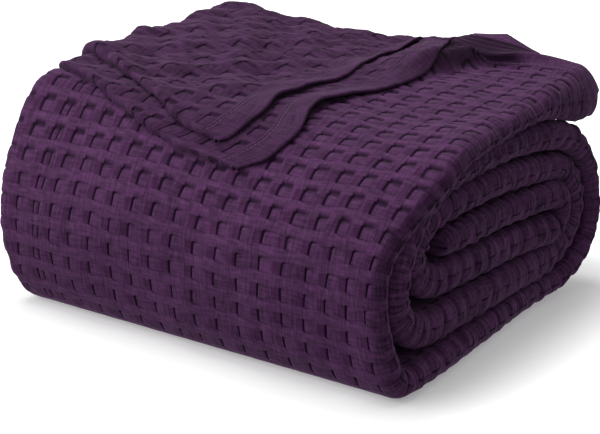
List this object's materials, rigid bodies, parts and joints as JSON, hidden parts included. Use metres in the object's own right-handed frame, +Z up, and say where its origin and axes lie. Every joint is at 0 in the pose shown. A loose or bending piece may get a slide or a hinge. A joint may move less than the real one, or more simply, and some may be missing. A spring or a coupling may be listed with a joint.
{
  "type": "rolled waffle weave cotton blanket",
  "caption": "Deep purple waffle weave cotton blanket, folded into a thick strip and wound into an oval roll, its loose corner turned over on top.",
  "frame": {"origin": "middle of the roll's box in plan, on the surface that it lies on", "axes": "+X along the roll's axis, +Y from the rounded front to the back, +Z up"},
  "size_m": [0.35, 0.3056, 0.1898],
  "materials": {
    "purple_cotton": "matt waffle weave cotton, deep purple"
  },
  "bodies": {
    "root": {"blanket": "purple_cotton"}
  },
  "joints": []
}
